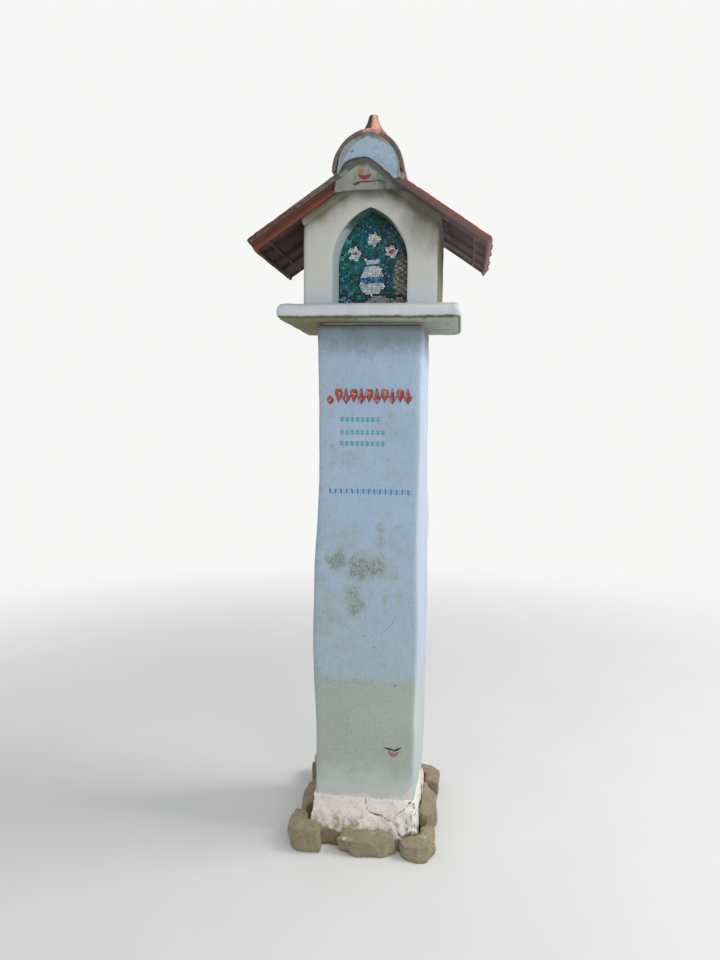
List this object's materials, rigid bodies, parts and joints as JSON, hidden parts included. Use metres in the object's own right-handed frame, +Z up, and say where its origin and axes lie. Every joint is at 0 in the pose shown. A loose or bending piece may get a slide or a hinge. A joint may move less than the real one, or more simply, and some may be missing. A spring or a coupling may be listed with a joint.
{
  "type": "wayside shrine",
  "caption": "Rendered masonry pillar with a cast slab and a gabled niche house under interlocking clay tiles and ridge tiles.",
  "frame": {"origin": "on the ground in the middle of the shrine, under the ridge", "axes": "+Z up, the niche faces -Y, +X to the viewer's right"},
  "size_m": [0.7244, 0.54, 2.2048],
  "materials": {
    "limewash": "brushed limewash over cement mortar, matt",
    "blue_limewash": "pale blue limewash over hand-laid render, matt, weather-stained",
    "cream_plaster": "smooth felted lime plaster, matt",
    "mortar": "rough bedding mortar",
    "fieldstone": "rough fieldstone with limewash splashes",
    "mosaic": "small glazed mosaic pieces in grout",
    "clay_tile": "fired clay, red engobe, weathered"
  },
  "bodies": {
    "root": {"footing": "limewash", "foot_stone_front": "fieldstone", "foot_stone_front_left": "fieldstone", "foot_stone_front_right": "fieldstone", "foot_stone_left": "fieldstone", "foot_stone_right": "fieldstone", "foot_stone_back_left": "fieldstone", "foot_stone_back_right": "fieldstone", "foot_stone_back": "fieldstone", "pillar": "blue_limewash", "slab_bed": "mortar", "slab": "limewash", "house_core": "cream_plaster", "left_jamb": "cream_plaster", "right_jamb": "cream_plaster", "arch_gable": "cream_plaster", "mosaic_panel": "mosaic", "tile_bed_left": "mortar", "tile_bed_right": "mortar", "tile_front_left": "clay_tile", "tile_back_left": "clay_tile", "tile_front_right": "clay_tile", "tile_back_right": "clay_tile", "ridge_bed_left": "mortar", "ridge_bed_right": "mortar", "ridge_tile_front": "clay_tile", "ridge_tile_back": "clay_tile", "ridge_infill_front": "limewash", "ridge_infill_back": "limewash", "gable_band_front": "cream_plaster", "gable_band_back": "cream_plaster"}
  },
  "joints": []
}
